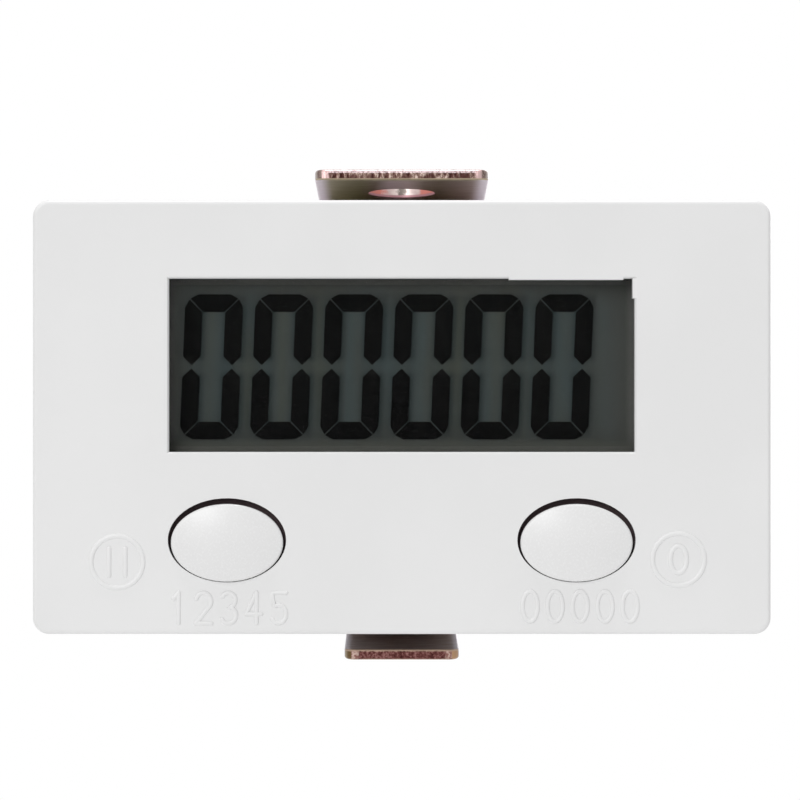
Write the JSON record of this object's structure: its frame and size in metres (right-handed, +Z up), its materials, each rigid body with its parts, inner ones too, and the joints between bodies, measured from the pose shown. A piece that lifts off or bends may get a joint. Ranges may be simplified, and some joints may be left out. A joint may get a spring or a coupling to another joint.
{
  "type": "panel counter",
  "caption": "Self-contained digital panel counter with display, pause and reset buttons, sliding battery door and a clamp bracket drawn up by a knurled nut.",
  "frame": {"origin": "middle of the face's outline on the back of the bezel, where the bezel meets the panel", "axes": "+X right along the face, +Y from the face into the case, +Z up; the display faces -Y"},
  "size_m": [0.068, 0.0395, 0.0462],
  "materials": {
    "housing_white": "fine moulded texture",
    "button_white": "smooth, half gloss",
    "display_polariser": "smooth film",
    "display_glass": "polished",
    "display_segment": "dark, no relief",
    "display_seal": "cured resin",
    "display_reflector": "grey green film",
    "holder_plastic": "plain moulded",
    "connector_rubber": "matt",
    "board_laminate": "green solder mask",
    "resin_black": "cast resin",
    "can_metal": "plated",
    "capacitor_sleeve": "shrink sleeve",
    "ceramic_tan": "fired ceramic",
    "resistor_black": "glazed",
    "reed_glass": "fire polished",
    "reed_metal": "tinned",
    "switch_plastic": "plain moulded",
    "switch_steel": "stamped",
    "terminal_tin": "tinned",
    "cell_sleeve": "shrink film",
    "contact_nickel": "nickel plated",
    "screw_zinc": "bright zinc",
    "nut_brass": "turned",
    "bracket_passivated": "yellow passivated zinc, sheared edges"
  },
  "bodies": {
    "case": {"front_shell": "housing_white", "rear_case": "housing_white", "lcd_front_polariser": "display_polariser", "lcd_front_glass": "display_glass", "lcd_segments": "display_segment", "lcd_seal": "display_seal", "lcd_rear_glass": "display_glass", "lcd_reflector": "display_reflector", "lcd_holder": "holder_plastic", "connector_strip_upper": "connector_rubber", "connector_strip_lower": "connector_rubber", "circuit_board": "board_laminate", "controller_blob": "resin_black", "timing_crystal": "can_metal", "filter_capacitor": "capacitor_sleeve", "board_capacitors": "ceramic_tan", "board_resistors": "resistor_black", "reed_switch_glass": "reed_glass", "reed_switch_leads": "reed_metal", "pause_switch_base": "switch_plastic", "reset_switch_base": "switch_plastic", "pause_switch_cover": "switch_steel", "reset_switch_cover": "switch_steel", "pause_switch_dome": "switch_steel", "reset_switch_dome": "switch_steel", "switch_terminals": "terminal_tin", "battery_cell": "can_metal", "battery_sleeve": "cell_sleeve", "battery_spring": "contact_nickel", "battery_plate_contact": "contact_nickel", "battery_spring_contact": "contact_nickel", "case_screws": "screw_zinc", "board_screws": "screw_zinc", "clamp_stud": "screw_zinc"},
    "pause_button": {"pause_button_cap": "button_white", "pause_switch_plunger": "switch_plastic"},
    "reset_button": {"reset_button_cap": "button_white", "reset_switch_plunger": "switch_plastic"},
    "battery_door": {"battery_door": "housing_white"},
    "bracket": {"clamp_bracket": "bracket_passivated", "clamp_washer": "screw_zinc"},
    "clamp_nut": {"clamp_nut": "nut_brass"}
  },
  "joints": [
    {"name": "pause_button_press", "type": "slide", "parent": "case", "child": "pause_button", "axis": [0, 1, 0], "range_m": [0, 0.0004], "stiffness_N_per_m": 1500, "springref_m": -0.001},
    {"name": "reset_button_press", "type": "slide", "parent": "case", "child": "reset_button", "axis": [0, 1, 0], "range_m": [0, 0.0004], "stiffness_N_per_m": 1500, "springref_m": -0.001},
    {"name": "battery_door_slide", "type": "slide", "parent": "case", "child": "battery_door", "axis": [1, 0, 0], "range_m": [0, 0.05]},
    {"name": "bracket_slide", "type": "slide", "parent": "case", "child": "bracket", "axis": [0, 1, 0], "range_m": [-0.0028, 0.0028]},
    {"name": "nut_turn", "type": "hinge", "parent": "bracket", "child": "clamp_nut", "pos_m": [0, 0.0301, 0], "axis": [0, 1, 0], "range_deg": [-1440, 1440]}
  ],
  "couplings": [
    {"joint": "nut_turn", "follows": "bracket_slide", "rad_per_m": 8976}
  ]
}
